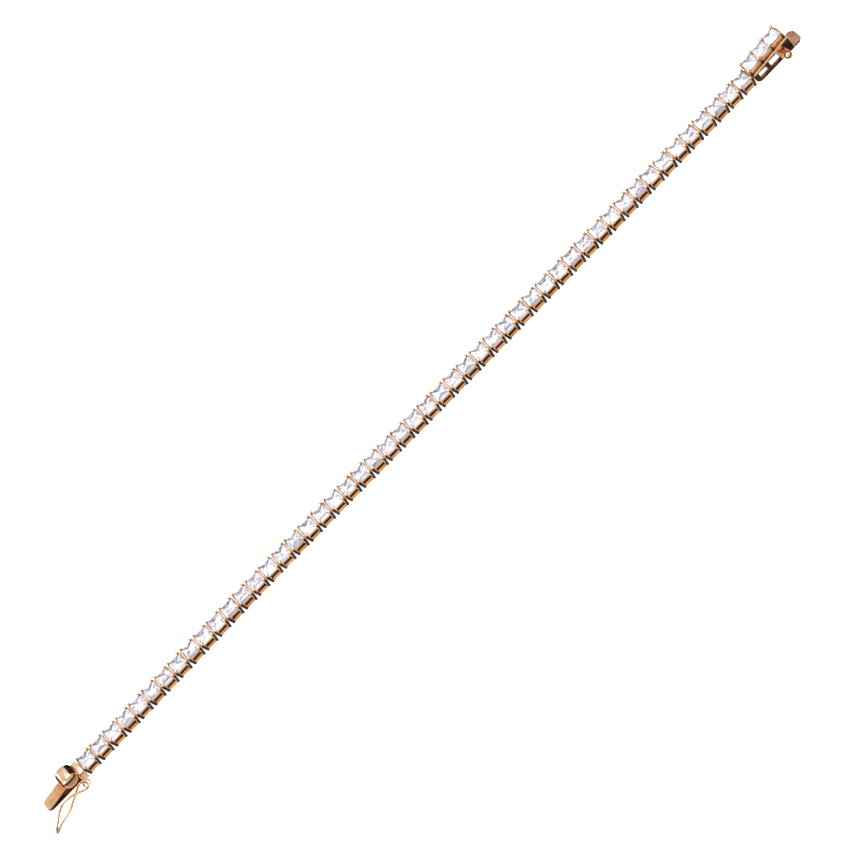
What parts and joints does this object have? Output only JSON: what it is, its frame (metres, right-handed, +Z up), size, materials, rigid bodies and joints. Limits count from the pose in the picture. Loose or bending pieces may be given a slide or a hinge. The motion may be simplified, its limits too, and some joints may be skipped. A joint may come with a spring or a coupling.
{
  "type": "tennis bracelet",
  "caption": "Line bracelet of hinged square claw-set stones with a box clasp, spring tongue, ball peg and figure-eight safety catch, laid open in a line.",
  "frame": {"origin": "middle of the laid-out bracelet's outline, on the surface that it lies on", "axes": "+X along the chain from the tongue to the box clasp, -Y the side with the safety catch and the ball peg, +Z up, the way that the stones face"},
  "size_m": [0.1876, 0.008, 0.0051],
  "materials": {
    "gold": "polished warm gold plate",
    "stone": "clear faceted stone"
  },
  "bodies": {
    "bracelet": {"chain_links_a": "gold", "chain_links_b": "gold", "box_clasp": "gold", "box_stone_1": "stone", "box_stone_2": "stone", "box_stone_3": "stone", "end_block": "gold", "tongue_spring": "gold"},
    "safety_catch": {"safety_catch": "gold"}
  },
  "joints": [
    {"name": "safety_catch_hinge", "type": "hinge", "parent": "bracelet", "child": "safety_catch", "pos_m": [-0.0841, -0.00114, 0.00095], "axis": [0, 0, 1], "range_deg": [-16, 150]}
  ]
}
